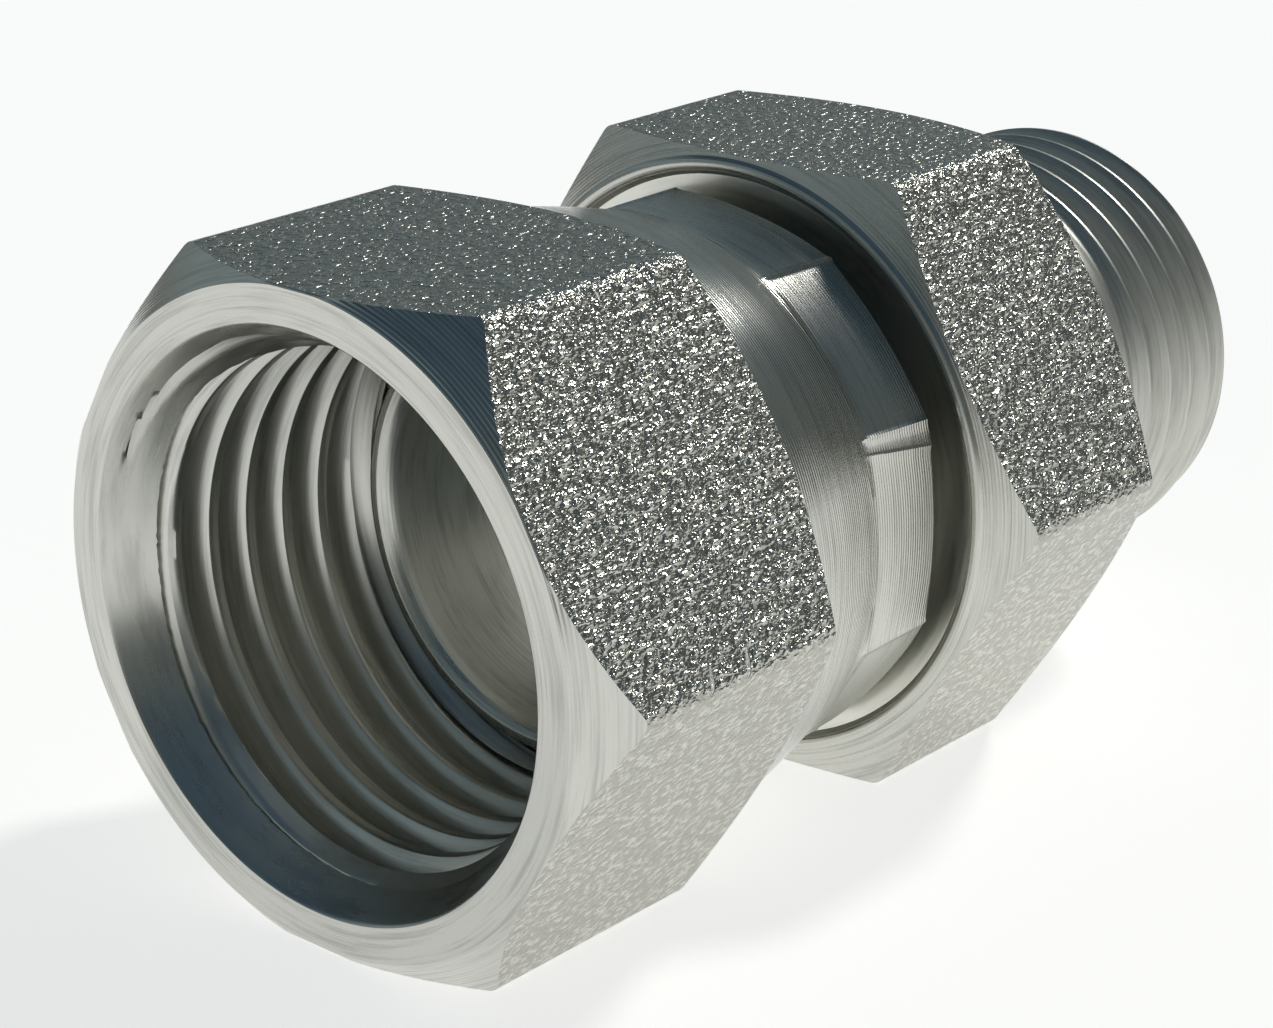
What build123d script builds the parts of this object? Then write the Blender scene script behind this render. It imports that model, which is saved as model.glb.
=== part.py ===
from build123d import *
import math
import os

# Swivel adapter: a body with a hexagon and an outside thread, and a swivel nut crimped onto its nose.
# Millimetres. +X runs from the nut's mouth to the end of the outside thread, +Z is up.
# Both hexagons have a flat at the bottom. x is measured from the nut's face, r from the thread axis.
# Both threads have their real form and pitch, as rings side by side instead of a helix.

HEX_AF = 24.0                 # across flats of both hexagons
HEX_EDGE_R = 0.6              # rounding along the six hexagon edges
CORNER_R = HEX_AF / math.sqrt(3) - HEX_EDGE_R * (2 / math.sqrt(3) - 1)
OVER_R = 16.0                 # a radius outside everything, for cutting shapes
CUT_PAST = 0.5                # how far a thread groove's cutter stands clear of the crests

# swivel nut, outside
NUT_FACE_R = 12.04            # the turned face is as wide as the flats
NUT_FRONT_CORNER_X = 1.68     # where the 45 degree front chamfer meets the edges
NUT_BACK_CORNER_X = 11.37     # where the rear chamfer meets the edges
NUT_BACK_ANGLE = 32.0         # rear chamfer, from the plane across the axis
SHOULDER_R = 11.95            # the sloping shoulder starts just inside the flats
COLLAR_X = 17.5               # the shoulder ends and the crimped collar starts
COLLAR_R = 10.85
NUT_LENGTH = 21.6
COLLAR_EDGE = 0.15            # small break on the collar's rear edge

# swivel nut, inside
MOUTH_R = 10.6                # countersink at the face
MOUTH_HALF_ANGLE = 30.0
PIPE_THREAD_R = 9.3155        # inside radius of a half-inch parallel pipe thread
PIPE_ROOT_R = 10.4775
PIPE_PITCH = 1.814            # 14 to the inch
PIPE_FLANK_ANGLE = 27.5
PIPE_ROOT_FLAT = 0.17         # what the rounded root leaves between the flanks
PIPE_ROOT_X = 1.57            # middle of the first groove, which the countersink cuts open
THREAD_END_X = 11.3           # the thread relief starts here
RELIEF_R = 10.55              # the relief lets the thread tool run out
RELIEF_TO_FLANGE = 0.4        # plain bore between the relief and the flange's front

# the swivel joint between nut and body
SWIVEL_CLEARANCE = 0.07       # radial clearance of the two running fits
SWIVEL_PLAY = 0.25            # axial play behind and in front of the flange
FLANGE_R = 9.75
FLANGE_X = 13.2               # front of the flange
FLANGE_BACK_X = 17.0          # where the flange's sloping back starts
FLANGE_BACK_ANGLE = 45.0
NECK_R = 8.45                 # neck under the crimped collar

# body, the nose inside the nut
NOSE_X = 11.3
NOSE_R = 8.42
NOSE_EDGE = 0.15
RIM_R = 8.0                   # the rim is flat outside this radius and dips inside it
SEAT_R = 7.62                 # mouth of the seat
SEAT_X = 11.6
SEAT_HALF_ANGLE = 30.0
PASSAGE_R = 5.0

# body, hexagon
BOSS_X = 22.25                # small turned boss that faces the collar
BOSS_R = 10.95
BOSS_BEVEL = 0.3              # radial width of the bevel round the boss
HEX_FRONT_X = 22.6            # the turned ring round the boss
HEX_FRONT_R = 11.84
HEX_FRONT_ANGLE = 20.5        # front chamfer, from the plane across the axis
HEX_BACK_CORNER_X = 30.93
HEX_BACK_ANGLE = 35.0         # rear chamfer, from the plane across the axis

# body, outside thread
SHANK_R = 8.75                # plain shank between hexagon and thread
OUT_THREAD_R = 8.97           # crests of an M18 x 1.5 thread
OUT_ROOT_R = 8.05
OUT_PITCH = 1.5
OUT_FLANK_ANGLE = 30.0
OUT_ROOT_FLAT = 0.25
OUT_ROOT_X = 38.33            # middle of the first groove behind the plain shank
OUT_THREAD_X = 37.2           # the thread starts here
BODY_END_X = 45.2
END_CHAMFER = 1.15
CONE_MOUTH_R = 6.9            # 24 degree tube cone in the thread's end
CONE_HALF_ANGLE = 12.0


def tan(degrees):
    return math.tan(math.radians(degrees))


def turned(points):
    """Turn a closed outline of (x, r) points about the X axis."""
    outline = make_face(Polyline(*[(x, 0, r) for x, r in points], close=True))
    return revolve(outline, Axis.X, 360)


def thread_rings(first_x, end_x, pitch, root_r, mouth_r, root_flat, flank_angle):
    """Rings with a thread groove's section, a pitch apart, from the root's radius out to the mouth's."""
    half_root = root_flat / 2
    half_mouth = half_root + abs(mouth_r - root_r) * tan(flank_angle)
    count = math.floor((end_x - first_x) / pitch) + 1
    ring = turned([
        (-half_mouth, mouth_r),
        (-half_root, root_r),
        (half_root, root_r),
        (half_mouth, mouth_r),
    ])
    return [Pos(first_x + n * pitch, 0, 0) * ring for n in range(count)]


def hexagon_bar(start, end):
    """Hexagon bar along X with a flat at the bottom and lightly rounded edges."""
    section = RegularPolygon(HEX_AF / 2, 6, major_radius=False)
    section = fillet(section.vertices(), HEX_EDGE_R)
    bar = extrude(Plane.YZ * section, amount=end - start)
    return Pos(start, 0, 0) * bar


def nut_outside():
    corner_drop = CORNER_R - NUT_FACE_R
    steep = corner_drop / NUT_FRONT_CORNER_X
    front_x = (OVER_R - NUT_FACE_R) / steep
    back_over_x = NUT_BACK_CORNER_X - (OVER_R - CORNER_R) * tan(NUT_BACK_ANGLE)
    shoulder_x = NUT_BACK_CORNER_X + (CORNER_R - SHOULDER_R) * tan(NUT_BACK_ANGLE)
    return turned([
        (0, 0),
        (0, NUT_FACE_R),
        (front_x, OVER_R),
        (back_over_x, OVER_R),
        (shoulder_x, SHOULDER_R),
        (COLLAR_X, COLLAR_R),
        (NUT_LENGTH - COLLAR_EDGE, COLLAR_R),
        (NUT_LENGTH, COLLAR_R - COLLAR_EDGE),
        (NUT_LENGTH, 0),
    ])


def nut_inside():
    mouth_depth = (MOUTH_R - PIPE_THREAD_R) / tan(MOUTH_HALF_ANGLE)
    bore_r = FLANGE_R + SWIVEL_CLEARANCE
    lip_r = NECK_R + SWIVEL_CLEARANCE
    lip_x = FLANGE_BACK_X + SWIVEL_PLAY
    lip_end_x = lip_x + (bore_r - lip_r) * tan(FLANGE_BACK_ANGLE)
    relief_end_x = FLANGE_X - RELIEF_TO_FLANGE
    past = 1.0
    return turned([
        (-past, 0),
        (-past, MOUTH_R + past * tan(MOUTH_HALF_ANGLE)),
        (mouth_depth, PIPE_THREAD_R),
        (THREAD_END_X, PIPE_THREAD_R),
        (THREAD_END_X, RELIEF_R),
        (relief_end_x - (RELIEF_R - bore_r), RELIEF_R),
        (relief_end_x, bore_r),
        (lip_x, bore_r),
        (lip_end_x, lip_r),
        (NUT_LENGTH + past, lip_r),
        (NUT_LENGTH + past, 0),
    ])


def nut_thread():
    """Grooves of the inside thread. They start inside the bore, so that their mouths cut nothing."""
    inside_bore_r = PIPE_THREAD_R - CUT_PAST
    return thread_rings(
        PIPE_ROOT_X, THREAD_END_X, PIPE_PITCH, PIPE_ROOT_R, inside_bore_r, PIPE_ROOT_FLAT, PIPE_FLANK_ANGLE)


def make_swivel_nut():
    bar = hexagon_bar(-1, NUT_LENGTH + 1)
    nut = (nut_outside() & bar) - nut_inside()
    for groove in nut_thread():
        nut = nut - groove
    return nut


def body_outside():
    back_drop = (FLANGE_R - NECK_R) * tan(FLANGE_BACK_ANGLE)
    front_over_x = HEX_FRONT_X + (OVER_R - HEX_FRONT_R) * tan(HEX_FRONT_ANGLE)
    back_over_x = HEX_BACK_CORNER_X - (OVER_R - CORNER_R) * tan(HEX_BACK_ANGLE)
    shank_x = HEX_BACK_CORNER_X + (CORNER_R - SHANK_R) * tan(HEX_BACK_ANGLE)
    return turned([
        (NOSE_X, 0),
        (NOSE_X, NOSE_R - NOSE_EDGE),
        (NOSE_X + NOSE_EDGE, NOSE_R),
        (FLANGE_X, NOSE_R),
        (FLANGE_X, FLANGE_R),
        (FLANGE_BACK_X, FLANGE_R),
        (FLANGE_BACK_X + back_drop, NECK_R),
        (BOSS_X, NECK_R),
        (BOSS_X, BOSS_R - BOSS_BEVEL),
        (HEX_FRONT_X, BOSS_R),
        (HEX_FRONT_X, HEX_FRONT_R),
        (front_over_x, OVER_R),
        (back_over_x, OVER_R),
        (shank_x, SHANK_R),
        (OUT_THREAD_X, SHANK_R),
        (OUT_THREAD_X + OUT_THREAD_R - SHANK_R, OUT_THREAD_R),
        (BODY_END_X - END_CHAMFER, OUT_THREAD_R),
        (BODY_END_X, OUT_THREAD_R - END_CHAMFER),
        (BODY_END_X, 0),
    ])


def body_inside():
    seat_end_x = SEAT_X + (SEAT_R - PASSAGE_R) / tan(SEAT_HALF_ANGLE)
    cone_start_x = BODY_END_X - (CONE_MOUTH_R - PASSAGE_R) / tan(CONE_HALF_ANGLE)
    past = 1.0
    return turned([
        (NOSE_X - past, 0),
        (NOSE_X - past, RIM_R),
        (NOSE_X, RIM_R),
        (SEAT_X, SEAT_R),
        (seat_end_x, PASSAGE_R),
        (cone_start_x, PASSAGE_R),
        (BODY_END_X, CONE_MOUTH_R),
        (BODY_END_X + past, CONE_MOUTH_R),
        (BODY_END_X + past, 0),
    ])


def body_thread():
    """Grooves of the outside thread. They reach past the crests, so that their mouths cut nothing."""
    half_groove = OUT_ROOT_FLAT / 2 + (OUT_THREAD_R - OUT_ROOT_R) * tan(OUT_FLANK_ANGLE)
    outside_crest_r = OUT_THREAD_R + CUT_PAST
    return thread_rings(
        OUT_ROOT_X, BODY_END_X - half_groove, OUT_PITCH, OUT_ROOT_R, outside_crest_r, OUT_ROOT_FLAT,
        OUT_FLANK_ANGLE)


def make_body():
    bar = hexagon_bar(0, BODY_END_X + 1)
    body = (body_outside() & bar) - body_inside()
    for groove in body_thread():
        body = body - groove
    return body


def placed(solid):
    """Put the origin under the middle of the adapter, on the plane its flats lie on."""
    return Pos(-BODY_END_X / 2, 0, HEX_AF / 2) * solid


def main():
    os.makedirs("parts", exist_ok=True)
    export_step(placed(make_swivel_nut()), "parts/swivel_nut.step")
    export_step(placed(make_body()), "parts/body.step")


main()
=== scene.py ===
# %% [markdown]
# # A zinc plated swivel adapter
# The real object is a steel hydraulic fitting in two pieces. A hexagonal swivel nut, threaded inside, is
# crimped onto the nose of a hexagonal body and turns freely on it. The body has an outside thread at its
# far end and a passage right through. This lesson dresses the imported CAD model, which is the fixed frame
# that everything here has to fit.

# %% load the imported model
import math
import bpy
import numpy as np
from mathutils import Matrix


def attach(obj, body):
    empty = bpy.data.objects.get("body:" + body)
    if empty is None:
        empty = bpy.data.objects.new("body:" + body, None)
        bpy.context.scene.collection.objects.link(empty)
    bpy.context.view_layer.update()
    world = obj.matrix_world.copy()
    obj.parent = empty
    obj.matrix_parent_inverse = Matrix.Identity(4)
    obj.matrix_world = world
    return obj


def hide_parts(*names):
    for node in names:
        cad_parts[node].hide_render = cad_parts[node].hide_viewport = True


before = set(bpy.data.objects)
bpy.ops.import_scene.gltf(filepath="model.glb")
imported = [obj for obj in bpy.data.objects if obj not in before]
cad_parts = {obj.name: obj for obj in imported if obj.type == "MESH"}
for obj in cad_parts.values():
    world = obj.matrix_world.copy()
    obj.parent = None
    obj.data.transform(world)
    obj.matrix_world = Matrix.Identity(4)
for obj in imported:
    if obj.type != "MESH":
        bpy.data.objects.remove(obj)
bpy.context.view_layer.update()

# %% [markdown]
# ## Measuring along and round the axis
# Both pieces are turned on a lathe from hexagon bar, so every surface is easiest to describe as a maker
# would: how far along the axis, and how far out from it. One function puts such points in the frame. It is
# the only place that knows where the adapter lies.

# %% points by length, radius and angle
LENGTH = 45.2
AXIS_HEIGHT = 12.0
MM = 0.001


def place(along, out, turn):
    """Points in metres: (along - half the length, out times cos turn, axis height + out times sin turn)."""
    along, out, turn = np.broadcast_arrays(along, out, turn)
    x = along - LENGTH / 2
    y = out * np.cos(turn)
    z = AXIS_HEIGHT + out * np.sin(turn)
    return np.stack([x, y, z], -1) * MM


print("the nut's mouth is at x =", place(0.0, 0.0, 0.0)[0], "m")

# %% [markdown]
# ## Columns round the axis
# The surfaces are grids: columns go round the axis and rows go along it. The hexagon's edges and the thin
# ridges on the crimped collar are narrow, so the columns stand closer together there. Spreading columns
# evenly instead would need three times as many for the same crisp edges.

# %% where the columns stand
# Each crimp ridge runs from its first angle at the shoulder to its second at the collar's rear edge.
CRIMP_RIDGES = np.array([
    [-119.8, -119.4], [-80.2, -80.6], [-40.4, -39.8], [0.4, -0.1], [40.9, 40.2],
    [80.3, 80.1], [119.8, 120.4], [156.3, 156.5], [200.6, 199.6],
])
FAINT_RIDGE = (159.6, 162.3)
CLOSEST_COLUMNS = 0.12


def columns():
    """Angles in radians from -180 to 180 degrees: even steps on each flat, fine ones at edges and ridges."""
    flat = np.linspace(-28.6, 28.6, 45)
    edge = np.array([-30.0, -29.7, -29.4, -29.1, -28.85])
    sector = np.concatenate([edge, flat, -edge[:0:-1]])
    around = (sector[None, :] + 30.0 + 60.0 * np.arange(-3, 3)[:, None]).ravel()
    ridge_lines = np.append(CRIMP_RIDGES[:, 0], FAINT_RIDGE[0])
    close = (ridge_lines[:, None] + np.array([-0.7, -0.35, 0.0, 0.35, 0.7])).ravel()
    around = np.concatenate([around, close])
    around = np.unique(np.round((around + 180.0) % 360.0 - 180.0, 3))
    apart = np.diff(np.append(around, around[0] + 360.0)) > CLOSEST_COLUMNS
    return np.radians(around[apart])


turn = columns()
print(len(turn), "columns, closest", round(float(np.degrees(np.diff(turn)).min()), 2), "degrees apart")

# %% [markdown]
# ## The hexagon bar
# Both pieces start as the same drawn bar, 24 mm across flats, with edges that are slightly rounded and,
# after some handling, a little uneven. The radius to its surface is worked out for each column, so the
# flats are truly flat and the chamfers that the lathe cuts meet them in the right curves.

# %% radius of the hexagon bar
ACROSS_FLATS = 24.0
EDGE_ROUNDING = 0.6
CORNER_R = ACROSS_FLATS / math.sqrt(3) - EDGE_ROUNDING * (2 / math.sqrt(3) - 1)
ROUNDED_SPAN = 1.26


def hexagon_radius(angle):
    """Half the width over the cosine of the angle off the flat; within ROUNDED_SPAN of an edge, the
    distance along the edge's direction to the far side of the rounding circle."""
    off_flat = np.degrees(angle) % 60.0 - 30.0
    flat = ACROSS_FLATS / 2 / np.cos(np.radians(off_flat))
    off_edge = np.radians(30.0 - np.abs(off_flat))
    centre = (ACROSS_FLATS / 2 - EDGE_ROUNDING) / math.cos(math.radians(30.0))
    inside = np.maximum(EDGE_ROUNDING ** 2 - (centre * np.sin(off_edge)) ** 2, 0.0)
    rounded = centre * np.cos(off_edge) + np.sqrt(inside)
    return np.where(np.degrees(off_edge) < ROUNDED_SPAN, rounded, flat)


bar_r = hexagon_radius(turn)
print("bar radius from", round(float(bar_r.min()), 3), "to", round(float(bar_r.max()), 3), "mm")

# %% [markdown]
# ## From rows to a closed mesh
# A piece is a list of rows, each with its length and radius in every column, that goes round the section
# and ends where it began. Threads need one more trick. Their rows climb with the helix, so after a full
# turn each row meets a later one. Rows that would leave the threaded stretch are held at its end, and the
# points that then coincide are welded.

# %% weld rows into a mesh
CRISP_ANGLE = 24.0


def grid_faces(rows, cols, first, climb):
    """Quads between neighbouring rows and columns; the last column meets the first one, climb rows on."""
    i, j = np.meshgrid(np.arange(rows - 1), np.arange(cols), indexing="ij")
    wrap = (j == cols - 1) * climb
    low = np.clip(i + wrap, 0, rows - 1)
    high = np.clip(i + 1 + wrap, 0, rows - 1)
    k = (j + 1) % cols
    return first + np.stack([i * cols + j, low * cols + k, high * cols + k, (i + 1) * cols + j], -1)


def signed_volume(points, faces):
    """Sum over the triangles of a.(b x c) / 6, which is positive when the faces point outwards."""
    a, b, c, d = (points[faces[:, n]] for n in range(4))
    first = np.einsum("ij,ij->i", a, np.cross(b, c))
    second = np.einsum("ij,ij->i", a, np.cross(c, d))
    return float((first + second).sum() / 6)


def welded_piece(name, grids, finishes):
    """Merge equal points, drop faces shrunk to nothing, turn the faces outwards and mark the crisp edges."""
    points, faces, finish, first = [], [], [], 0
    for along, out, angle, climb, kinds in grids:
        rows, cols = along.shape
        quads = grid_faces(rows, cols, first, climb)
        points.append(place(along, out, angle).reshape(-1, 3))
        faces.append(quads.reshape(-1, 4))
        finish.append(np.repeat(np.asarray(kinds), cols))
        first += rows * cols
    points, faces, finish = np.concatenate(points), np.concatenate(faces), np.concatenate(finish)
    _, kept, new = np.unique(np.round(points, 8), axis=0, return_index=True, return_inverse=True)
    points, faces = points[kept], new.reshape(-1)[faces]
    same = faces == np.roll(faces, -1, axis=1)
    whole = same.sum(1) <= 1
    faces, finish, same = faces[whole], finish[whole], same[whole]
    opposite = (faces[:, 0] == faces[:, 2]) | (faces[:, 1] == faces[:, 3])
    faces, finish, same = faces[~opposite], finish[~opposite], same[~opposite]
    if signed_volume(points, faces) < 0:
        faces, same = faces[:, ::-1], same[:, [2, 1, 0, 3]]
    sizes = 4 - same.sum(1)
    loops = faces[~same]
    mesh = bpy.data.meshes.new(name)
    mesh.vertices.add(len(points))
    mesh.vertices.foreach_set("co", points.astype(np.float32).ravel())
    mesh.loops.add(len(loops))
    mesh.loops.foreach_set("vertex_index", loops.astype(np.int32))
    mesh.polygons.add(len(sizes))
    mesh.polygons.foreach_set("loop_start", (np.cumsum(sizes) - sizes).astype(np.int32))
    mesh.polygons.foreach_set("material_index", finish.astype(np.int32))
    mesh.update(calc_edges=True)
    mesh.validate()
    mesh.polygons.foreach_set("use_smooth", np.ones(len(mesh.polygons), bool))
    mesh.set_sharp_from_angle(angle=math.radians(CRISP_ANGLE))
    for material in finishes:
        mesh.materials.append(material)
    piece = bpy.data.objects.new(name, mesh)
    bpy.context.scene.collection.objects.link(piece)
    triangles = int((sizes - 2).sum())
    print(name, len(points), "points,", triangles, "triangles, volume",
          round(abs(signed_volume(points, faces)) * 1e9), "mm3")
    return piece


print("edges sharper than", CRISP_ANGLE, "degrees stay crisp")

# %% [markdown]
# A small store of rows saves a lot of repetition. Each stretch of the section is given by its two ends and
# a number of steps, and the finish that the lathe, the bar mill or the thread tool left on it.

# %% rows of a section
ROLLED, TURNED, FACED, THREADED, BORED, SHANK = range(6)


class Section:
    """Rows round a piece's section: lengths, radii, and the finish between each row and the one before."""

    def __init__(self):
        self.along, self.out, self.kinds = [], [], []

    def row(self, along, out, kind):
        """Add one row, with a length and a radius for all columns or for each."""
        self.along.append(np.broadcast_to(np.asarray(along, float), turn.shape))
        self.out.append(np.broadcast_to(np.asarray(out, float), turn.shape))
        self.kinds.append(kind)

    def to(self, along, out, steps, kind, bulge=0.0):
        """Even steps from the last row to (along, out), bowed outwards by bulge times 4 t (1 - t)."""
        a0, r0 = self.along[-1], self.out[-1]
        for step in range(1, steps + 1):
            t = step / steps
            self.row(a0 + (along - a0) * t, r0 + (out - r0) * t + bulge * 4 * t * (1 - t), kind)

    def grid(self):
        """The lengths, radii, angles, climb and finishes that welded_piece takes."""
        return np.stack(self.along), np.stack(self.out), turn[None, :], 0, self.kinds[1:]


print(SHANK + 1, "finishes")

# %% [markdown]
# ## Threads
# A thread is one profile carried along a helix. The profile is a list of depths over one pitch, and the
# helix moves it along by one pitch for each full turn from +Y towards +Z, which makes it right-handed. The
# rows stand on the profile's own corners, so its crests stay crisp all the way along.

# %% helical rows
def thread_depth(since_crest, pitch, stations, depths):
    """Depth below the crest at a distance since the crest's rear edge, repeating every pitch."""
    return np.interp(since_crest % pitch, np.append(stations, pitch), np.append(depths, depths[0]))


def helix_rows(start, end, crest_at, pitch, stations):
    """Row lengths: the lead, which is crest_at + pitch times turns, + whole pitches + the profile's
    stations, held between the ends. The lead is returned too."""
    lead = crest_at + pitch * turn / (2 * math.pi)
    low = math.floor((float(np.min(start)) - float(lead.max())) / pitch) - 1
    high = math.ceil((float(np.max(end)) - float(lead.min())) / pitch) + 1
    offsets = (np.arange(low, high + 1)[:, None] * pitch + np.asarray(stations)[None, :]).ravel()
    rows = lead[None, :] + offsets[:, None]
    return np.clip(rows, start, end), lead


def wobble(t, seed, size):
    """A smooth uneven line: the sum of eight sines with seeded lengths and starts, scaled to about size."""
    random = np.random.default_rng(seed)
    waves = random.uniform(0.6, 6.0, 8)
    starts = random.uniform(0, 2 * math.pi, 8)
    return size * np.sin(np.asarray(t)[..., None] * waves + starts).sum(-1) / 2.8


print("helical rows climb one pitch a turn")

# %% [markdown]
# ## The nut's inside thread
# The thread is a half-inch parallel pipe thread: pitch 1.814 mm, with flanks that lean 27.5 degrees. The
# mouth is countersunk after threading, so the first turn is cut away, and its edge is ragged and deeper
# than a clean cut would be. The line of that edge is given by a few angles and depths, and the first sliver
# of thread shows in the countersink as a curved groove.

# %% profile of the inside thread
PIPE_PITCH = 1.814
PIPE_CREST_R = 9.3155
PIPE_STATIONS = np.array([0.0, 0.03, 0.08, 0.25, 0.42, 0.58, 0.64, 0.707, 0.775, 0.835, 1.0, 1.17,
                          1.34, 1.40, 1.47, 1.60, 1.78])
PIPE_DEPTHS = np.array([0.0, 0.03, 0.12, 0.446, 0.773, 1.08, 1.14, 1.162, 1.14, 1.08, 0.764, 0.437,
                        0.11, 0.035, 0.006, 0.0, 0.0])
PIPE_CREST_X = 2.65 + PIPE_PITCH * 6.2 / 360
THREAD_END_X = 11.3
MOUTH_R = 10.6
MOUTH_SLOPE = 0.52

LIP = np.array([
    [-180, 1.32], [-150, 1.40], [-113, 1.50], [-72, 1.56], [-45, 1.62], [-27, 1.70], [-7, 1.84], [12, 1.87],
    [34, 1.90], [46, 2.06], [56, 2.35], [65, 2.60], [76, 2.70], [96, 2.20], [112, 1.35], [130, 1.12],
    [155, 1.24], [180, 1.32],
])
turn_degrees = np.degrees(turn)
lip_x = np.interp(turn_degrees, LIP[:, 0], LIP[:, 1]) + wobble(turn_degrees * 0.8, 3, 0.02)


def inside_thread_radius(along, lead):
    """The larger of the thread's radius there and the countersink's, MOUTH_R less its slope times x."""
    thread = PIPE_CREST_R + thread_depth(along - lead, PIPE_PITCH, PIPE_STATIONS, PIPE_DEPTHS)
    return np.maximum(thread, MOUTH_R - MOUTH_SLOPE * along)


inside_rows, inside_lead = helix_rows(lip_x, THREAD_END_X, PIPE_CREST_X, PIPE_PITCH, PIPE_STATIONS)
inside_radii = inside_thread_radius(inside_rows, inside_lead)
print(len(inside_rows), "rows in the nut's thread, from x", round(float(lip_x.min()), 2), "to", THREAD_END_X)

# %% [markdown]
# ## The crimped collar
# The thin rear end of the nut was squeezed over the body's flange by a ring of jaws. Each jaw left a
# flatter facet, and the metal that escaped between two jaws stands up as a thin bright ridge. The facets
# are a shallow dip between neighbouring ridges, and the columns lean with the ridges so that each one
# stays sharp.

# %% facets and ridges of the collar
COLLAR_X = 17.5
COLLAR_R = 10.83
NUT_LENGTH = 21.6
FACET_DIP = 0.30
FACET_SPAN = 40.0
RIDGE_HEIGHT, RIDGE_WIDTH = 0.055, 0.42
FAINT_HEIGHT, FAINT_WIDTH = 0.03, 0.45
LEAN_FROM_X, LEAN_OVER, LEAN_SPREAD = 17.7, 3.6, 3.0


def smooth_step(share):
    """3 t squared less 2 t cubed, which leaves 0 and reaches 1 without a kink."""
    return share * share * (3 - 2 * share)


def ridge_lean(along):
    """How far each column moves round by this length, in radians: the nearest ridge's own change of angle."""
    share = np.clip((along - LEAN_FROM_X) / LEAN_OVER, 0.0, 1.0)
    lines = np.vstack([CRIMP_RIDGES, FAINT_RIDGE])
    away = (turn_degrees[:, None] - lines[None, :, 0] + 180.0) % 360.0 - 180.0
    near = np.exp(-(away / LEAN_SPREAD) ** 2)
    return np.radians((near * (lines[:, 1] - lines[:, 0])[None, :]).sum(1)) * share


def collar_radius(along):
    """Collar radius less a dip of 1 - u squared between ridges, plus a narrow bell on each, faded in."""
    lines = np.sort(CRIMP_RIDGES[:, 0] % 360.0)
    angle = turn_degrees % 360.0
    ring = np.concatenate([[lines[-1] - 360.0], lines, [lines[0] + 360.0]])
    facet = np.searchsorted(ring, angle, side="right")
    low, high = ring[facet - 1], ring[facet]
    u = (2 * angle - low - high) / (high - low)
    away = np.minimum(angle - low, high - angle)
    ridge = RIDGE_HEIGHT * np.exp(-(away / RIDGE_WIDTH) ** 2)
    ridge += FAINT_HEIGHT * np.exp(-((turn_degrees - FAINT_RIDGE[0]) / FAINT_WIDTH) ** 2)
    fade = smooth_step(np.clip((along - COLLAR_X - 0.05) / 0.5, 0.0, 1.0))
    dip = FACET_DIP * (1 - u ** 2) * ((high - low) / FACET_SPAN) ** 2
    return COLLAR_R - fade * dip + fade * ridge


print("collar radius from", round(float(collar_radius(19.0).min()), 2), "to",
      round(float(collar_radius(19.0).max()), 2), "mm")

# %% [markdown]
# ## The swivel nut
# The section is followed once round: from the end of the thread, through the hidden bore that holds the
# body's flange, over the lip and the collar, up the smooth shoulder, over the hexagon between its two
# chamfers, across the turned face, and down the countersink to the thread's first edge.

# %% sizes of the nut
NUT_FACE_R = 12.04
NUT_FRONT_CORNER_X = 1.68
NUT_FRONT_SLOPE = (CORNER_R - NUT_FACE_R) / NUT_FRONT_CORNER_X
NUT_BACK_CORNER_X = 11.37
NUT_BACK_SLOPE = math.tan(math.radians(32.0))
SHOULDER_R = 11.95
NUT_BORE_R = 9.82
NUT_LIP_R = 8.52
NUT_LIP_X = 17.25
RELIEF_R = 10.55
RELIEF_END_X = 12.8
COUNTERSINK_STEPS = 16
print("nut", NUT_LENGTH, "mm long, bore radius", NUT_BORE_R, "and lip radius", NUT_LIP_R, "mm")

# %% section of the nut
nut = Section()
nut.row(THREAD_END_X, inside_radii[-1], BORED)
nut.to(THREAD_END_X + 0.01, RELIEF_R, 1, BORED)
nut.to(RELIEF_END_X - (RELIEF_R - NUT_BORE_R), RELIEF_R, 2, BORED)
nut.to(RELIEF_END_X, NUT_BORE_R, 2, BORED)
nut.to(NUT_LIP_X, NUT_BORE_R, 4, BORED)
nut.to(NUT_LIP_X + NUT_BORE_R - NUT_LIP_R, NUT_LIP_R, 2, BORED)
nut.to(NUT_LENGTH - 0.12, NUT_LIP_R, 4, BORED)
nut.to(NUT_LENGTH, NUT_LIP_R + 0.12, 1, FACED)
rear_r = collar_radius(NUT_LENGTH)
nut.to(NUT_LENGTH, rear_r - 0.22, 4, FACED)
nut.to(NUT_LENGTH - 0.05, rear_r - 0.06, 1, TURNED)
nut.to(NUT_LENGTH - 0.16, rear_r, 1, TURNED)
for along in np.linspace(NUT_LENGTH - 0.3, COLLAR_X + 0.7, 14):
    nut.row(along, collar_radius(along), TURNED)
for along in np.linspace(COLLAR_X + 0.6, COLLAR_X, 6):
    nut.row(along, collar_radius(along), TURNED)
shoulder_x = NUT_BACK_CORNER_X + (CORNER_R - SHOULDER_R) * NUT_BACK_SLOPE
nut.to(shoulder_x, SHOULDER_R, 18, TURNED, bulge=0.07)
flat_end = NUT_BACK_CORNER_X + (CORNER_R - bar_r) * NUT_BACK_SLOPE
nut.to(flat_end, bar_r, 5, TURNED)
flat_start = np.maximum((bar_r - NUT_FACE_R) / NUT_FRONT_SLOPE, 0.06)
nut.to(flat_start, bar_r, 40, ROLLED)
face_edge = np.minimum(NUT_FACE_R, bar_r) - 0.02
nut.to(0.03, face_edge, 5, TURNED)
nut.to(0.0, face_edge - 0.05, 1, FACED)
nut.to(0.0, MOUTH_R + 0.04, 8, FACED)
nut.to(0.03, MOUTH_R - 0.005, 1, FACED)
nut.to(0.10, MOUTH_R - MOUTH_SLOPE * 0.10, 1, FACED)
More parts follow.
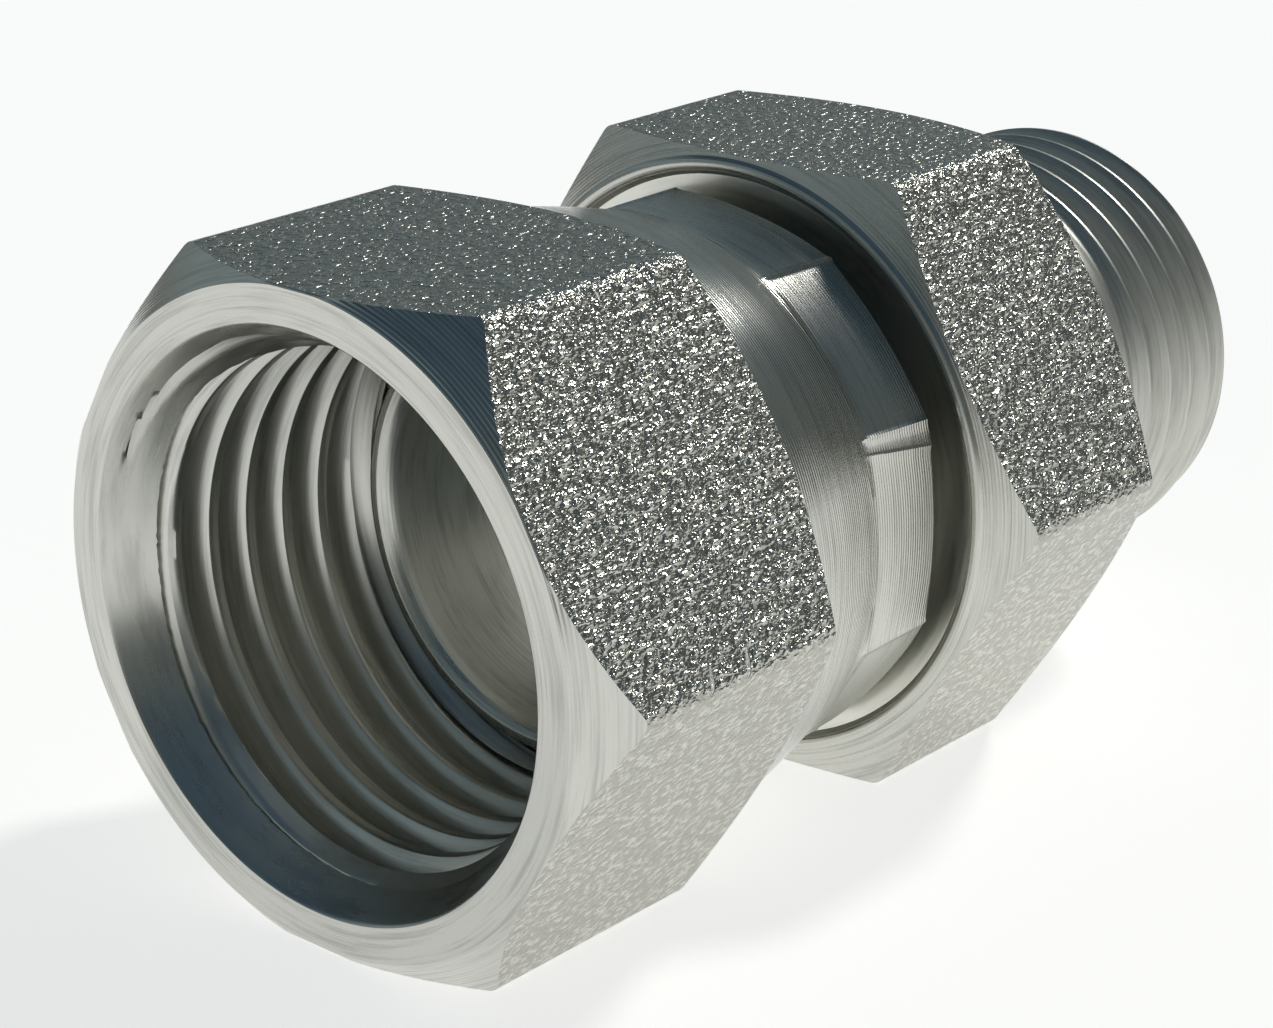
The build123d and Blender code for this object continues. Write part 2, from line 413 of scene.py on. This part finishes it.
nut.to(lip_x, MOUTH_R - MOUTH_SLOPE * lip_x, COUNTERSINK_STEPS, FACED)
nut.row(lip_x, inside_radii[0], THREADED)
print(len(nut.along), "rows in the nut's section")

# %% [markdown]
# The countersink's curved groove is cut into those rows: within its two edges the surface steps outwards
# and slopes back. Each line of its table is an angle and the lengths of its outer and inner edge there. The
# collar's columns then lean with their ridges.

# %% cut the first sliver of thread
SLIVER = np.array([
    [14, 0.56, 0.58], [20, 0.58, 0.68], [25, 0.60, 0.77], [30, 0.66, 0.86], [35, 0.75, 1.00],
    [41, 0.88, 1.13], [48, 0.98, 1.27], [55, 1.06, 1.45], [64, 1.10, 1.56], [72, 1.22, 1.72],
    [80, 1.42, 1.92], [95, 1.70, 1.95], [104, 1.62, 1.64],
])
NO_GROOVE = 9.0
GROOVE_DEPTH = 0.16


def sliver_depth(along):
    """A step of up to GROOVE_DEPTH at the groove's outer edge, sloping back to nothing at its inner edge."""
    outer = np.interp(turn_degrees, SLIVER[:, 0], SLIVER[:, 1], left=NO_GROOVE, right=NO_GROOVE)
    inner = np.interp(turn_degrees, SLIVER[:, 0], SLIVER[:, 2], left=NO_GROOVE, right=NO_GROOVE)
    width = np.maximum(inner - outer, 1e-3)
    share = (along - outer) / width
    depth = np.minimum(GROOVE_DEPTH, width * 0.7)
    rise = np.clip((share + 0.25) / 0.25, 0.0, 1.0)
    fall = np.clip(1.0 - share, 0.0, 1.0)
    return depth * np.where(share < 0, rise, fall)


lengths, radii, angles, climb, kinds = nut.grid()
last_rows = np.arange(len(lengths))[:, None] >= len(lengths) - 1 - COUNTERSINK_STEPS
countersink = last_rows & (lengths > 0.12) & (lengths < lip_x - 0.01)
groove = np.where(countersink, np.stack([sliver_depth(row) for row in lengths]), 0.0)
radii = radii + groove
collar_rows = (lengths > COLLAR_X - 1.0) & (radii > NUT_BORE_R + 0.08)
lean = np.stack([ridge_lean(row) for row in lengths])
angles = angles + np.where(collar_rows, lean, 0.0)
print("groove up to", round(float(groove.max()), 2), "mm deep")

# %% [markdown]
# ## The outside thread
# The body's far end carries an M18 x 1.5 thread. Towards the hexagon it runs out: over its last turn the
# grooves get shallower until the plain shank is left. At the end a chamfer cuts it down, so the radius is
# the smaller of the thread's and the chamfer's.

# %% profile of the outside thread
METRIC_PITCH = 1.5
METRIC_CREST_R = 8.965
METRIC_STATIONS = np.array([0.0, 0.07, 0.12, 0.28, 0.43, 0.59, 0.66, 0.75, 0.84, 0.91, 1.07, 1.22,
                            1.38, 1.43])
METRIC_DEPTHS = np.array([0.0, 0.005, 0.05, 0.33, 0.59, 0.84, 0.905, 0.92, 0.905, 0.84, 0.59, 0.33,
                          0.05, 0.005])
METRIC_CREST_X = 39.6 - METRIC_PITCH * 124 / 360
SHANK_R = 8.75
RUNOUT_X = 36.9
RUNOUT_OVER = 1.9
THREAD_STOP_X = LENGTH - 0.02
END_CHAMFER_R = 7.82


def outside_thread_radius(along, lead):
    """Crest radius less the depth, faded in from the shank, and never outside the end chamfer."""
    fade = smooth_step(np.clip((along - RUNOUT_X) / RUNOUT_OVER, 0.0, 1.0))
    depth = thread_depth(along - lead, METRIC_PITCH, METRIC_STATIONS, METRIC_DEPTHS)
    thread = SHANK_R + (METRIC_CREST_R - SHANK_R) * np.clip(fade * 1.6, 0, 1) - depth * fade
    return np.minimum(thread, END_CHAMFER_R + (LENGTH - along))


outside_rows, outside_lead = helix_rows(
    RUNOUT_X, THREAD_STOP_X, METRIC_CREST_X, METRIC_PITCH, METRIC_STATIONS)
outside_radii = outside_thread_radius(outside_rows, outside_lead)
print(len(outside_rows), "rows in the outside thread")

# %% [markdown]
# ## The body
# Its section starts on the shank, goes back over the hexagon to the rounded ring that faces the collar,
# down the neck to the flange and nose inside the nut, in through the cone seat and along the passage, and
# comes out at the far end.

# %% sizes of the body
HEX_FRONT_X = 22.6
HEX_FRONT_R = 11.84
HEX_FRONT_SLOPE = math.tan(math.radians(20.5))
HEX_BACK_CORNER_X = 30.93
HEX_BACK_SLOPE = math.tan(math.radians(35.0))
RING_X, RING_R = 22.68, 11.56
RING_HALF_WIDTH, RING_BULGE = 0.32, 0.30
RECESS_X, RECESS_R = 22.78, 11.14
BOSS_R = 8.60
NECK_X, NECK_R = 18.30, 8.45
FLANGE_FRONT_X, FLANGE_BACK_X, FLANGE_R = 13.2, 17.0, 9.75
NOSE_X, NOSE_R = 11.30, 8.42
SEAT_X, SEAT_R = 11.60, 7.62
SEAT_END_X = 16.138
PASSAGE_R = 5.0
TUBE_CONE_X, TUBE_CONE_R = 36.261, 6.887
print("body from", NOSE_X, "to", LENGTH, "mm, flange radius", FLANGE_R, "and passage radius", PASSAGE_R, "mm")

# %% section of the body
body = Section()
body.row(RUNOUT_X, outside_radii[0], SHANK)
root_x = HEX_BACK_CORNER_X + (CORNER_R - SHANK_R) * HEX_BACK_SLOPE
body.to(root_x + 0.12, SHANK_R, 6, SHANK)
body.to(root_x - 0.06, SHANK_R + 0.10, 1, SHANK)
back_x = HEX_BACK_CORNER_X + (CORNER_R - bar_r) * HEX_BACK_SLOPE
body.to(back_x, bar_r, 10, TURNED)
front_x = HEX_FRONT_X + np.maximum((bar_r - HEX_FRONT_R) * HEX_FRONT_SLOPE, 0.03)
body.to(front_x, bar_r, 36, ROLLED)
body.to(HEX_FRONT_X + 0.02, HEX_FRONT_R + 0.03, 7, FACED)
for lean_angle in np.linspace(-64, 70, 12):
    ring_r = RING_R - RING_HALF_WIDTH * math.sin(math.radians(lean_angle))
    ring_x = RING_X - RING_BULGE * math.cos(math.radians(lean_angle))
    body.row(ring_x, ring_r, FACED)
body.to(RECESS_X, RECESS_R, 1, BORED)
body.to(RECESS_X, BOSS_R, 4, BORED)
body.to(RECESS_X - 0.15, NECK_R, 1, BORED)
body.to(NECK_X, NECK_R, 3, TURNED)
body.to(FLANGE_BACK_X, FLANGE_R, 2, TURNED)
body.to(FLANGE_FRONT_X, FLANGE_R, 3, TURNED)
body.to(FLANGE_FRONT_X, NOSE_R, 2, TURNED)
body.to(NOSE_X + 0.15, NOSE_R, 2, TURNED)
body.to(NOSE_X + 0.06, NOSE_R - 0.03, 1, FACED)
body.to(NOSE_X, NOSE_R - 0.14, 1, FACED)
body.to(NOSE_X, NOSE_R - 0.40, 3, FACED)
body.to(NOSE_X + 0.04, NOSE_R - 0.48, 1, FACED)
body.to(SEAT_X, SEAT_R, 2, FACED)
body.to(SEAT_END_X, PASSAGE_R, 14, BORED)
body.to(TUBE_CONE_X, PASSAGE_R, 10, BORED)
body.to(LENGTH - 0.06, TUBE_CONE_R, 8, BORED)
body.to(LENGTH, TUBE_CONE_R + 0.073, 1, FACED)
body.to(LENGTH, END_CHAMFER_R - 0.02, 4, FACED)
body.row(THREAD_STOP_X, outside_radii[-1], FACED)
print(len(body.along), "rows in the body's section")

# %% [markdown]
# ## A small language for finishes
# Finishes are sums and products of things that vary over the steel: how far along, how far out, a noise.
# A tiny class wraps a node's output so that ordinary Python arithmetic adds the Math nodes, and one method
# adds any other node.

# %% values that vary over a surface
class Signal:
    """One output in a material's tree. Arithmetic on it adds Math nodes."""

    def __init__(self, paint, socket):
        self.paint = paint
        self.socket = socket

    def math(self, operation, *values):
        """Add a Math node and set its values in order."""
        return self.paint.node("ShaderNodeMath", {"operation": operation}, dict(enumerate(values)))

    def also(self, output):
        """Another output of the node that this one comes from."""
        return Signal(self.paint, self.socket.node.outputs[output])

    def __add__(self, other):
        return self.math("ADD", self, other)

    __radd__ = __add__

    def __sub__(self, other):
        return self.math("SUBTRACT", self, other)

    def __rsub__(self, other):
        return self.math("SUBTRACT", other, self)

    def __mul__(self, other):
        return self.math("MULTIPLY", self, other)

    __rmul__ = __mul__

    def __truediv__(self, other):
        return self.math("DIVIDE", self, other)

    def __rtruediv__(self, other):
        return self.math("DIVIDE", other, self)


class Paint:
    """A node tree that finishes are written into, for a material, the world or the floor."""

    def __init__(self, owner):
        owner.use_nodes = True
        self.tree = owner.node_tree
        self.tree.nodes.clear()

    def node(self, kind, settings=None, values=None, output=0):
        """Add a node, set its settings first and then its sockets, and give one of its outputs."""
        made = self.tree.nodes.new(kind)
        for name, setting in (settings or {}).items():
            setattr(made, name, setting)
        for key, value in (values or {}).items():
            if isinstance(value, Signal):
                self.tree.links.new(value.socket, made.inputs[key])
            else:
                made.inputs[key].default_value = value
        return Signal(self, made.outputs[output]) if len(made.outputs) else made

    def blend(self, share, first, second):
        """The first colour where share is 0 and the second where it is 1."""
        return self.node("ShaderNodeMix", {"data_type": "RGBA"}, {0: share, 6: first, 7: second}, 2)

    def clamped(self, value, low, high, to_low=0.0, to_high=1.0):
        """The value carried from low..high to to_low..to_high with a smooth step, and held outside it."""
        return self.node("ShaderNodeMapRange", {"interpolation_type": "SMOOTHSTEP"},
                         {0: value, 1: low, 2: high, 3: to_low, 4: to_high})

    def noise(self, vector, scale, detail, roughness):
        """A soft random value between 0 and 1, about scale bumps to each unit of the vector."""
        return self.node("ShaderNodeTexNoise", {"noise_dimensions": "3D"},
                         {"Vector": vector, "Scale": scale, "Detail": detail, "Roughness": roughness})

    def vector(self, x, y, z):
        """Three values as one vector."""
        return self.node("ShaderNodeCombineXYZ", None, {0: x, 1: y, 2: z})


print("finishes can be written as sums now")

# %% [markdown]
# Every finish on a turned piece needs the same measurements at a point of the surface: how far along the
# axis it is, how far out, and in which direction. They are taken from Object coordinates, which are the
# frame's own metres, and turned into millimetres.

# %% where a point of the steel is
class Steel(Paint):
    """A material whose tree starts with the length, radius and direction of the point, in millimetres."""

    def __init__(self, name):
        self.material = bpy.data.materials.new(name)
        super().__init__(self.material)
        object_point = self.node("ShaderNodeTexCoord").also("Object")
        x = self.node("ShaderNodeSeparateXYZ", None, {0: object_point})
        self.along = x / MM + LENGTH / 2
        self.side = x.also(1) / MM
        self.height = x.also(2) / MM - AXIS_HEIGHT
        squares = self.side * self.side + self.height * self.height
        self.out = squares.math("SQRT", squares)
        self.side_share = self.side / self.out
        self.height_share = self.height / self.out

    def finish(self, colour, roughness, relief, relief_mm):
        """Wire the shader: metal of that colour and roughness, with the relief as a bump that high."""
        bump = self.node("ShaderNodeBump", None,
                         {"Strength": 1.0, "Distance": relief_mm * MM, "Height": relief})
        shader = self.node("ShaderNodeBsdfPrincipled", None,
                           {"Base Color": colour, "Roughness": roughness, "Metallic": 1.0, "Normal": bump})
        self.node("ShaderNodeOutputMaterial", None, {0: shader})
        return self.material


print("one measured steel for every finish")

# %% [markdown]
# ## Rolled and plated flats
# The flats keep the surface of the drawn bar under the plating: a bed of small grains, stretched along the
# bar, whose tilted faces catch the light one by one. It is made of rounded cells whose places a noise has
# shifted, tilted by a second noise, with a fine third one on top. The pits are rougher than the tops, and
# their colour is painted darker as painted shade in the hollows between grains. Four nicks from other tools
# cross the edges, and are paler and rougher than the grain.

# %% finish of the hexagon flats
ZINC = (0.63, 0.63, 0.585, 1.0)
ZINC_GRAIN = (0.66, 0.655, 0.60, 1.0)
# The pits' colour is painted shade: darker zinc for the shade that falls in the hollows between grains.
ZINC_PIT_SHADE = (0.45, 0.445, 0.40, 1.0)
ZINC_CUT = (0.86, 0.86, 0.82, 1.0)
STRETCH = 0.72
WARP = 0.34
FLATS_RELIEF_MM = 0.16

# Each nick is a short cut across a hexagon edge: its middle, direction, half length and half width.
NICKS = (
    ((5.02, -13.66, 0.35), (-0.35, -0.45, -0.82), 0.55, 0.10),
    ((6.86, -13.66, 0.35), (-0.35, -0.45, -0.82), 0.60, 0.10),
    ((6.78, -6.92, 11.75), (0.25, -0.75, -0.61), 0.55, 0.09),
    ((5.10, -7.00, 11.97), (0.30, -0.80, -0.50), 0.22, 0.12),
)


def nicks(steel):
    """1 inside a nick and 0 outside it, by (along / half length) squared + (across / half width) squared."""
    at = steel.vector(steel.along, steel.side, steel.height)
    total = None
    for middle, direction, half_length, half_width in NICKS:
        away = steel.node("ShaderNodeVectorMath", {"operation": "SUBTRACT"}, {0: at, 1: middle})
        length = steel.node("ShaderNodeVectorMath", {"operation": "DOT_PRODUCT"}, {0: away, 1: direction}, 1)
        square = steel.node("ShaderNodeVectorMath", {"operation": "DOT_PRODUCT"}, {0: away, 1: away}, 1)
        across = square - length * length
        inside = length * length / half_length ** 2 + across / half_width ** 2
        cut = steel.clamped(inside, 1.2, 0.5)
        total = cut if total is None else total.math("MAXIMUM", total, cut)
    return total


def rolled_flats(name):
    """Grains for the relief, the roughness of their tops and pits, painted shade that darkens the pits, and
    the nicks over them.
    """
    steel = Steel(name)
    grain_at = steel.vector(steel.along * STRETCH, steel.side, steel.height)
    warp = steel.node("ShaderNodeTexNoise", None, {"Vector": grain_at, "Scale": 2.6, "Detail": 2.0}, 1)
    warped = steel.node("ShaderNodeVectorMath", {"operation": "MULTIPLY_ADD"},
                        {0: warp, 1: (WARP, WARP, WARP), 2: grain_at})
    bump = steel.node("ShaderNodeTexVoronoi", {"feature": "SMOOTH_F1"},
                      {"Vector": warped, "Scale": 3.7, "Smoothness": 0.12, "Randomness": 1.0})
    tilt = steel.noise(grain_at, 4.0, 2.0, 0.6)
    fine = steel.noise(grain_at, 11.0, 1.0, 0.5)
    relief = tilt * 0.80 - bump * 0.50 + fine * 0.08
    # 1 on the grain tops and 0 in the pits, where the colour is darkened as painted shade and the steel is
    # rougher.
    tops_over_shaded_pits = steel.clamped(tilt * 0.8 - bump * 0.45, 0.10, 0.36)
    colour = steel.blend(tops_over_shaded_pits, ZINC_PIT_SHADE, ZINC_GRAIN)
    cut = nicks(steel)
    colour = steel.blend(cut, colour, ZINC_CUT)
    roughness = 0.27 - tops_over_shaded_pits * 0.05 + cut * 0.30
    return steel.finish(colour, roughness, relief - cut * 0.5, FLATS_RELIEF_MM)


print("grains up to", FLATS_RELIEF_MM, "mm high,", len(NICKS), "nicks")


# %% [markdown]
# ## Turned, faced and bored steel
# A lathe tool leaves fine even lines, and every pass is a little different from its neighbour. The lines
# are a sine of the tool's travel with a noise that is drawn out round the axis. The travel is a mix of
# length and radius, so one recipe serves barrels, faces and cones.

# %% finish of the lathe's surfaces
DULL_SHARE = 0.72


def turned(name, by_length, by_radius, feed, lines, relief_mm, roughness, painted_light_tone=1.0):
    """Tool travel is by_length times length + by_radius times radius. The relief is lines times a sine of it,
    one wave to each feed mm, and for the rest streaks drawn out round the axis."""
    steel = Steel(name)
    travel = steel.along * by_length + steel.out * by_radius
    feed_lines = travel * (2 * math.pi / feed)
    feed_lines = feed_lines.math("SINE", feed_lines) * 0.5 + 0.5
    streak_at = steel.vector(travel * 5.0, steel.side_share * 1.2, steel.height_share * 1.2)
    streak = steel.noise(streak_at, 1.6, 4.0, 0.65)
    patch_at = steel.vector(travel * 1.5, steel.side_share * 1.6, steel.height_share * 1.6)
    patch = steel.noise(patch_at, 1.3, 3.0, 0.6)
    relief = feed_lines * lines + streak * (1.0 - lines)
    # painted_light_tone above 1 paints the steel lighter, as painted light in hollows that would otherwise
    # render dark.
    light = tuple(c * painted_light_tone for c in ZINC[:3]) + (1.0,)
    dull = tuple(c * painted_light_tone * DULL_SHARE for c in ZINC[:3]) + (1.0,)
    colour = steel.blend(steel.clamped(streak * 0.6 + patch * 0.4, 0.34, 0.56), dull, light)
    rough = roughness + patch * 0.06 + streak * 0.05
    return steel.finish(colour, rough, relief, relief_mm)


finishes = [
    rolled_flats("rolled_flat_steel"),
    turned("turned_steel", by_length=1.0, by_radius=0.35, feed=0.14, lines=0.60, relief_mm=0.012,
           roughness=0.14),
    turned("faced_steel", by_length=0.35, by_radius=1.0, feed=0.14, lines=0.25, relief_mm=0.012,
           roughness=0.22),
    # The nut's thread and the bores, seat and recess are painted lighter (1.10 and 1.22) as painted light
    # against the shade inside them.
    turned("threaded_steel", by_length=0.6, by_radius=1.0, feed=0.09, lines=0.15, relief_mm=0.003,
           roughness=0.26, painted_light_tone=1.10),
    turned("bored_steel", by_length=1.0, by_radius=0.3, feed=0.11, lines=0.25, relief_mm=0.004,
           roughness=0.24, painted_light_tone=1.22),
    turned("shank_steel", by_length=1.0, by_radius=0.5, feed=0.12, lines=0.25, relief_mm=0.006,
           roughness=0.40),
]
print("finishes:", [material.name for material in finishes])

# %% [markdown]
# ## Make the two pieces
# Each piece welds its section's grid to its thread's grid. It then takes the place of its plain CAD node
# and rides on that node's body, so the nut turns in every pose.

# %% the nut and the body
thread_kinds = [THREADED] * (len(inside_rows) - 1)
nut_piece = welded_piece("swivel_nut_piece", [
    (lengths, radii, angles, climb, kinds),
    (inside_rows, inside_radii, turn[None, :], len(PIPE_STATIONS), thread_kinds),
], finishes)
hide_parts("swivel_nut")
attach(nut_piece, "swivel_nut")

shank_kinds = [SHANK] * (len(outside_rows) - 1)
body_piece = welded_piece("adapter_body_piece", [
    body.grid(),
    (outside_rows[::-1], outside_radii[::-1], turn[None, :], -len(METRIC_STATIONS), shank_kinds),
], finishes)
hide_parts("body")
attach(body_piece, "body")

# %% [markdown]
# ## Floor
# The adapter lies on a plain pale floor that catches its shadow. The floor's own colour does most of the
# work. A little light that only the camera and mirror reflections see lifts it to white away from the
# shadow, without adding light to the steel.

# %% a pale floor
def floor_disc(radius, rings, spokes):
    """A flat disc: points at growing radii round the origin, closed by a fan at the middle."""
    out = radius * np.linspace(0, 1, rings + 1)[1:] ** 2
    angle = np.linspace(0, 2 * math.pi, spokes, endpoint=False)
    x = out[:, None] * np.cos(angle)
    y = out[:, None] * np.sin(angle)
    ring = np.stack([x, y, np.zeros_like(x)], -1)
    points = np.vstack([[[0.0, 0.0, 0.0]], ring.reshape(-1, 3)])
    j = np.arange(spokes)
    k = (j + 1) % spokes
    faces = np.stack([0 * j, 1 + j, 1 + k], -1).tolist()
    for n in range(rings - 1):
        a, b = 1 + n * spokes, 1 + (n + 1) * spokes
        faces += np.stack([a + j, b + j, b + k, a + k], -1).tolist()
    mesh = bpy.data.meshes.new("floor")
    mesh.from_pydata(points.tolist(), [], faces)
    mesh.update()
    return mesh


FLOOR_RADIUS = 3.0
FLOOR_LIFT = 0.73
floor = bpy.data.objects.new("floor", floor_disc(FLOOR_RADIUS, 6, 48))
bpy.context.scene.collection.objects.link(floor)

floor_material = bpy.data.materials.new("pale_floor")
paint = Paint(floor_material)
camera_ray = paint.node("ShaderNodeLightPath").also("Is Camera Ray")
seen = camera_ray.math("MAXIMUM", camera_ray, camera_ray.also("Is Glossy Ray"))
seen = seen.math("MAXIMUM", seen, camera_ray.also("Is Transmission Ray"))
matt = paint.node("ShaderNodeBsdfDiffuse", None, {"Color": (0.62, 0.62, 0.605, 1.0)})
lift = paint.node("ShaderNodeEmission", None,
                  {"Color": (1.0, 1.0, 0.985, 1.0), "Strength": seen * FLOOR_LIFT})
both = paint.node("ShaderNodeAddShader", None, {0: matt, 1: lift})
paint.node("ShaderNodeOutputMaterial", None, {0: both})
floor.data.materials.append(floor_material)
print("floor radius", FLOOR_RADIUS, "m, lifted by", FLOOR_LIFT)

# %% [markdown]
# ## Light
# Bright metal shows its surroundings more than its own colour. Overhead is a dim blue-grey room, lighter
# along +Y than along -Y and grey at the horizon, so upward faces mirror the dark and downward ones the pale
# floor. One soft key lamp stands high behind the thread's end. It draws the bright streaks along the
# barrels and makes the grains glint.

# %% the room and the key lamp
world = bpy.data.worlds.new("studio")
bpy.context.scene.world = world
sky = Paint(world)
direction = sky.node("ShaderNodeTexCoord").also("Generated")
across = sky.node("ShaderNodeSeparateXYZ", None, {0: direction}).also(1)
rise = across.also(2)
WALL = (0.150, 0.152, 0.140, 1.0)
NEAR_SKY = (0.105, 0.125, 0.125, 1.0)
FAR_SKY = (0.235, 0.29, 0.305, 1.0)
HIGH_SKY = (0.045, 0.075, 0.105, 1.0)
low_sky = sky.blend(sky.clamped(across, -0.35, 0.55), NEAR_SKY, FAR_SKY)
upper = sky.blend(sky.clamped(rise, 0.35, 0.70), low_sky, HIGH_SKY)
room = sky.blend(sky.clamped(rise, -0.02, 0.30), WALL, upper)
backdrop = sky.node("ShaderNodeBackground", None, {"Color": room, "Strength": 1.0})
sky.node("ShaderNodeOutputWorld", None, {0: backdrop})

KEY_FROM = np.array([0.706, -0.099, 0.701])
KEY_ENERGY = 1.2
KEY_SOFTNESS = 8.0


def pose_matrix(right, up, back, at):
    """The matrix whose columns are an object's own x, y and z directions and its place."""
    return Matrix([[right[n], up[n], back[n], at[n]] for n in range(3)] + [[0, 0, 0, 1]])


key_data = bpy.data.lights.new("key", "SUN")
key_data.energy = KEY_ENERGY
key_data.angle = math.radians(KEY_SOFTNESS)
key_data.color = (1.0, 0.985, 0.94)
key = bpy.data.objects.new("key", key_data)
bpy.context.scene.collection.objects.link(key)
towards = KEY_FROM / np.linalg.norm(KEY_FROM)
sideways = np.cross([0.0, 0.0, 1.0], towards)
sideways /= np.linalg.norm(sideways)
upwards = np.cross(towards, sideways)
key.matrix_world = pose_matrix(sideways, upwards, towards, towards)
print("key lamp from", towards.round(3), "energy", KEY_ENERGY)

# %% [markdown]
# ## Camera
# The camera stands where the photograph was taken from. Its place and direction were solved from the
# hexagon's edges, the mouth's circles and the thread's crests, with the lens that fits them best.

# %% the camera
CAMERA_AT = (-90.662, -73.892, 54.0)
CAMERA_RIGHT = (0.655448, -0.755240, -0.000958)
CAMERA_UP = (0.268062, 0.231456, 0.935185)
CAMERA_BACK = (-0.706067, -0.613222, 0.354159)
SENSOR_WIDTH = 36.0
LENS = 90.92
camera_data = bpy.data.cameras.new("camera")
camera_data.sensor_fit = "HORIZONTAL"
camera_data.sensor_width = SENSOR_WIDTH
camera_data.lens = LENS
camera_data.clip_start = 0.005
camera_data.clip_end = 20.0
camera = bpy.data.objects.new("camera", camera_data)
camera_metres = np.array(CAMERA_AT) * MM
camera.matrix_world = pose_matrix(CAMERA_RIGHT, CAMERA_UP, CAMERA_BACK, camera_metres)
bpy.context.scene.collection.objects.link(camera)
bpy.context.scene.camera = camera
bpy.context.scene.view_settings.view_transform = "Standard"
print("camera at", CAMERA_AT, "mm, lens", LENS, "mm")
